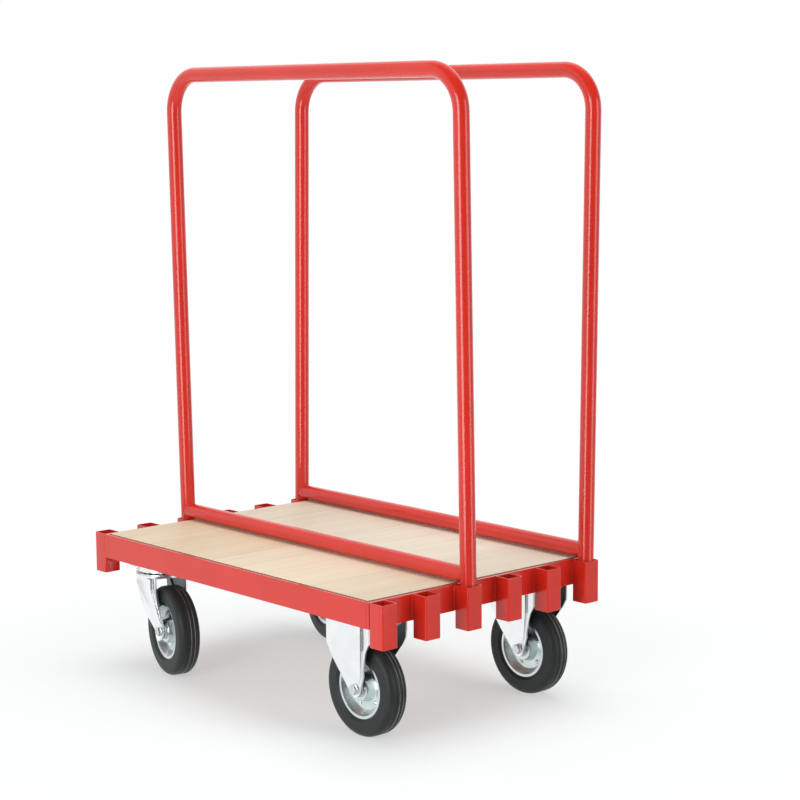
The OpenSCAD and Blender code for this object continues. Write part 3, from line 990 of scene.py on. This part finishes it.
@dataclass
class Hoop:
    """One bent tube hoop with its crossbar."""

    name: str
    weld_drop: float = 1.8 * MM
    weld_pitch: float = 1.5 * MM
    weld_steps: int = 40
    weld_start: float = -80.0
    weld_sweep: float = 340.0
    weld_inset: float = 0.985
    tube_r: float = field(init=False)

    def __post_init__(self) -> None:
        """Takes the tube's radius from the crossbar."""
        low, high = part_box(f"{self.name}_crossbar")
        self.tube_r = (high.z - low.z) / 2

    def build(self) -> None:
        """Makes the bow, the crossbar and the welds between them."""
        dress(f"{self.name}_bow", self.name, PAINT, Slot.RED, 0)
        dress(f"{self.name}_crossbar", self.name, PAINT, Slot.RED, 0)
        low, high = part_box(f"{self.name}_crossbar")
        middle = (low + high) / 2
        post_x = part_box(f"{self.name}_bow")[1].x - self.tube_r
        paths = [self.saddle(way, post_x, middle) for way in (-1, 1)]
        weld(self.name, paths, self.name, self.weld_drop, self.weld_pitch)

    def saddle(self, way: int, post_x: float, middle: Vector) -> list[Vector]:
        """The line where the crossbar meets a post.

        Args:
            way: -1 for the left post, 1 for the right one.
            post_x: Distance of the posts' axes from the cart's middle.
            middle: Centre of the crossbar.

        Returns:
            Points round most of the joint.
        """
        points: list[Vector] = []
        for step in range(self.weld_steps + 1):
            turn = math.radians(self.weld_start + self.weld_sweep * step / self.weld_steps)
            y = self.tube_r * math.cos(turn) * self.weld_inset
            z = self.tube_r * math.sin(turn)
            reach = math.sqrt(max(self.tube_r**2 - y * y, 0))
            points.append(Vector((way * (post_x - reach), middle.y + y, middle.z + z)))
        return points


@dataclass
class Wheel:
    """A rim, its tyre and its roller bearing."""

    name: str
    body: str
    centre: Vector
    axis: Vector
    rim_edge: float = 0.5 * MM
    rivet_count: int = 5
    rivet_ring: float = 39.5 * MM
    rivet_start: float = 100.0
    rivet_r: float = 4.6 * MM
    rivet_h: float = 3.0 * MM
    web_y: float = 4 * MM

    def build(self) -> None:
        """Makes the wheel's pieces."""
        dress(f"{self.name}_rim", self.body, RIM, Slot.SHEET, self.rim_edge)
        self.measure(dress(f"{self.name}_tyre", self.body, RUBBER, Slot.TYRE, 0).data)
        dress(f"{self.name}_rollers", self.body, STEEL, Slot.STEEL, 0)
        heads = RivetHeads(f"{self.name}_rivet", self.rivet_r, self.rivet_h, self.axis, FASTENER)
        mesh = heads.run(self.rivet_spots(), f"{self.name}_rivets")
        show(mesh, f"{self.name}_rivets", FASTENER, self.body, Slot.FASTENER)

    def measure(self, mesh: bpy.types.Mesh) -> None:
        """Stores each vertex's distance from the wheel's middle, for the tyre's painted highlight
        lines.

        Args:
            mesh: The tyre's mesh.
        """
        values = mesh.attributes.new(ACROSS, "FLOAT", "POINT").data
        for vertex, value in zip(mesh.vertices, values):
            value.value = (vertex.co - self.centre).dot(self.axis)

    def across(self) -> tuple[Vector, Vector]:
        """Two directions across the axle: level, and up."""
        up = Vector((0, 0, 1))
        return up.cross(self.axis).normalized() * -1, up

    def rivet_spots(self) -> bpy.types.Mesh:
        """Points on both faces of the web, one for each rivet.

        Returns:
            The points as a mesh.
        """
        level, up = self.across()
        points: list[Vector] = []
        for side in (-1, 1):
            for number in range(self.rivet_count):
                turn = math.radians(self.rivet_start + number * 360 / self.rivet_count)
                ring = (level * math.cos(turn) + up * math.sin(turn)) * self.rivet_ring
                points.append(self.centre + ring + self.axis * side * self.web_y)
        mesh = bpy.data.meshes.new(f"{self.name}_rivet_spots")
        mesh.from_pydata(points, [], [])
        return mesh


@dataclass
class FixedCaster:
    """A caster whose bracket is bolted straight under the frame."""

    side: Side
    body: str = FRAME_BODY
    edge: float = 1.1 * MM

    def build(self) -> None:
        """Makes the bracket and the wheel."""
        name = self.side.name.lower()
        bracket = dress(f"{name}_fixed_bracket", self.body, SHEET, Slot.SHEET, self.edge)
        centre, axle = axle_of(f"{name}_fixed_wheel_spin")
        # Faces that look at the wheel, or down, get painted shade.
        mark_painted_shade(bracket.data, centre, axle)
        Wheel(f"{name}_fixed", f"{name}_fixed_wheel", centre, axle).build()


@dataclass
class SwivelCaster:
    """A caster whose fork turns on a ball race under its plate."""

    side: Side
    body: str = FRAME_BODY
    edge: float = 1.1 * MM
    fastener_edge: float = 0.6 * MM

    def build(self) -> None:
        """Makes the plate, the fork, its fittings and the wheel."""
        name = f"{self.side.name.lower()}_swivel"
        dress(f"{name}_top_plate", self.body, SHEET, Slot.SHEET, self.edge)
        fork = dress(f"{name}_fork", name, SHEET, Slot.SHEET, self.edge)
        dress(f"{name}_race_balls", name, STEEL, Slot.STEEL, 0)
        dress(f"{name}_axle_sleeve", name, STEEL, Slot.STEEL, 0)
        for fastener in ("axle_bolt", "axle_nut"):
            dress(f"{name}_{fastener}", name, FASTENER, Slot.FASTENER, self.fastener_edge)
        centre, axle = axle_of(f"{name}_wheel_spin")
        # Faces that look at the wheel, or down, get painted shade.
        mark_painted_shade(fork.data, centre, axle)
        Wheel(name, f"{name}_wheel", centre, axle).build()


@dataclass
class AxleFittings:
    """Fixed axles and kingpins, which stay with the frame."""

    body: str = FRAME_BODY
    edge: float = 0.6 * MM

    def build(self) -> None:
        """Makes the bolts, nuts, sleeves and kingpins."""
        for fastener in ("fixed_axle_bolts", "fixed_axle_nuts"):
            dress(fastener, self.body, FASTENER, Slot.FASTENER, self.edge)
        for pin in ("fixed_axle_sleeves", "swivel_kingpins"):
            dress(pin, self.body, STEEL, Slot.STEEL, 0)


def axle_of(name: str) -> tuple[Vector, Vector]:
    """Finds where a wheel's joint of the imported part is.

    Args:
        name: The joint's name.

    Returns:
        The wheel's centre and the direction of its axle.
    """
    joint = next(joint for joint in frame["joints"] if joint["name"] == name)
    return Vector(joint["pos_m"]), Vector(joint["axis"])


# Studio


@dataclass(frozen=True)
class Lobe:
    """A bright part of the surroundings, as reflections see it."""

    aim: Point
    reach: Ramp
    level: float = 1.0


@dataclass(frozen=True)
class Lamp:
    """A soft box: its place, width, height, power in watts, and whether it makes highlights."""

    name: str
    spot: Point
    width: float
    height: float
    power: float
    glossy: bool = True


@dataclass
class Studio:
    """Pale floor, soft light and the camera."""

    floor_half: float = 30.0
    floor_tone: Colour = (0.85, 0.91, 0.91, 1)
    floor_white: Ramp = Ramp(0.25, 1.4, 0.46, 1)
    sky: float = 0.4
    dim: float = 0.06
    camera_at: Point = (3.4845, -2.902, 1.2607)
    yaw: float = 48.45
    pitch: float = -8.017
    roll: float = -0.45
    focal_px: float = 2100.0
    image_px: float = 800.0
    sensor: float = 36.0
    camera_range: float = 100.0
    lobes: tuple[Lobe, ...] = (
        Lobe((-0.748, 0.663, 0.0), Ramp(0.05, 0.7)),  # Behind the cart, as the camera sees it
        Lobe((-0.78, -0.62, -0.1), Ramp(0.3, 0.85), 0.95),  # Left of it
        Lobe((0.75, 0.65, -0.1), Ramp(0.7, 0.97), 0.45),  # Right of it
        Lobe((0.0, 0.0, -1.0), Ramp(0.3, 0.8), 0.75),  # Below it
    )
    lamps: tuple[Lamp, ...] = (
        Lamp("key", (1.15, -3.85, 1.0), 1.8, 3.2, 106.0),
        Lamp("fill", (3.75, 1.4, 1.0), 1.6, 3.2, 44.0),
        Lamp("top", (-0.3, 0.6, 4.4), 3.0, 3.0, 125.0, glossy=False),
    )
    lamp_aim: Point = (0.0, 0.0, 0.6)

    def build(self) -> None:
        """Makes the floor, the world, the lamps and the camera."""
        self.floor()
        self.world()
        for lamp in self.lamps:
            self.light(lamp)
        self.camera()

    @staticmethod
    def seen(sheet: NodeSheet) -> Shade:
        """Tells rays that show the background itself from rays that light the object.

        Args:
            sheet: The nodes of the floor's material.

        Returns:
            1 for camera, glossy and transmission rays, 0 for others.
        """
        camera = sheet.add("ShaderNodeLightPath", out="Is Camera Ray")
        return camera.top(camera.sibling("Is Glossy Ray")).top(camera.sibling("Is Transmission Ray"))

    def floor(self) -> None:
        """A wide pale floor that is plain white away from the object."""
        half = self.floor_half
        mesh = bpy.data.meshes.new("studio_floor")
        corners = [(-half, -half, 0), (half, -half, 0), (half, half, 0), (-half, half, 0)]
        mesh.from_pydata(corners, [], [range(len(corners))])
        material = bpy.data.materials.new("studio_floor")
        material.use_nodes = True
        sheet = NodeSheet(material.node_tree)
        spot = sheet.add("ShaderNodeTexCoord", out="Object")
        away = sheet.add("ShaderNodeVectorMath", {"operation": "LENGTH"}, {0: spot}, out="Value")
        plain = sheet.span(away, self.floor_white)
        matte = sheet.add("ShaderNodeBsdfDiffuse", sockets={"Color": self.floor_tone})
        white = sheet.add("ShaderNodeEmission", sockets={"Color": WHITE, "Strength": 1.0})
        share = plain * self.seen(sheet)
        mixed = sheet.add("ShaderNodeMixShader", sockets={0: share, 1: matte, 2: white})
        sheet.add("ShaderNodeOutputMaterial", sockets={"Surface": mixed})
        mesh.materials.append(material)
        plane = bpy.data.objects.new("studio_floor", mesh)
        plane.visible_glossy = False
        bpy.context.scene.collection.objects.link(plane)

    def world(self) -> None:
        """White surroundings that light the cart evenly; reflections see only the lobes bright."""
        world = bpy.data.worlds.new("studio")
        world.use_nodes = True
        sheet = NodeSheet(world.node_tree)
        camera = sheet.add("ShaderNodeLightPath", out="Is Camera Ray")
        glossy = camera.sibling("Is Glossy Ray")
        way = sheet.add("ShaderNodeTexCoord", out="Generated")
        bright: Value = 0.0
        for lobe in self.lobes:
            bright = self.towards(sheet, way, lobe).top(bright)
        mirror = self.dim + (1 - self.dim) * bright
        strength = (glossy * mirror + (1 - glossy) * self.sky).top(camera)
        glow = sheet.add("ShaderNodeBackground", sockets={"Color": WHITE, "Strength": strength})
        sheet.add("ShaderNodeOutputWorld", sockets={"Surface": glow})
        bpy.context.scene.world = world

    @staticmethod
    def towards(sheet: NodeSheet, way: Shade, lobe: Lobe) -> Shade:
        """How bright a lobe is in a direction.

        Args:
            sheet: The world's nodes.
            way: The direction that is looked in.
            lobe: The lobe.

        Returns:
            A value from 0 to the lobe's level.
        """
        agree = sheet.add(
            "ShaderNodeVectorMath", {"operation": "DOT_PRODUCT"}, {0: way, 1: lobe.aim}, out="Value"
        )
        return sheet.span(agree, lobe.reach) * lobe.level

    def light(self, lamp: Lamp) -> None:
        """Adds a soft box that faces the cart.

        Args:
            lamp: The soft box.
        """
        data = bpy.data.lights.new(f"studio_{lamp.name}", "AREA")
        data.shape = "RECTANGLE"
        data.size = lamp.width
        data.size_y = lamp.height
        data.energy = lamp.power
        box = bpy.data.objects.new(f"studio_{lamp.name}", data)
        box.visible_glossy = lamp.glossy
        box.location = lamp.spot
        aim = Vector(self.lamp_aim) - Vector(lamp.spot)
        box.rotation_euler = aim.to_track_quat("-Z", "Y").to_euler()
        bpy.context.scene.collection.objects.link(box)

    def camera(self) -> None:
        """Puts the camera at the photograph's place and angle."""
        yaw, pitch, roll = (math.radians(a) for a in (self.yaw, self.pitch, self.roll))
        reach = math.cos(pitch)
        ahead = Vector((-math.sin(yaw) * reach, math.cos(yaw) * reach, math.sin(pitch)))
        level = Vector((math.cos(yaw), math.sin(yaw), 0))
        up = level.cross(ahead)
        right = level * math.cos(roll) + up * math.sin(roll)
        up = right.cross(ahead)
        data = bpy.data.cameras.new("camera")
        data.sensor_width = self.sensor
        data.lens = self.focal_px / self.image_px * self.sensor
        data.clip_end = self.camera_range
        camera = bpy.data.objects.new("camera", data)
        turn = Matrix((right, up, -ahead)).transposed().to_4x4()
        camera.matrix_world = Matrix.Translation(Vector(self.camera_at)) @ turn
        bpy.context.scene.collection.objects.link(camera)
        bpy.context.scene.camera = camera


def main() -> None:
    """Builds the studio and the cart, in order."""
    logging.basicConfig(level=logging.INFO, format="%(name)s: %(message)s")
    bpy.context.scene.view_settings.view_transform = "Standard"
    Studio().build()
    DeckFrame().build()
    for name in ("middle_hoop", "rear_hoop"):
        Hoop(name).build()
    AxleFittings().build()
    for side in Side:
        FixedCaster(side).build()
        SwivelCaster(side).build()


if __name__ == "__main__":
    main()
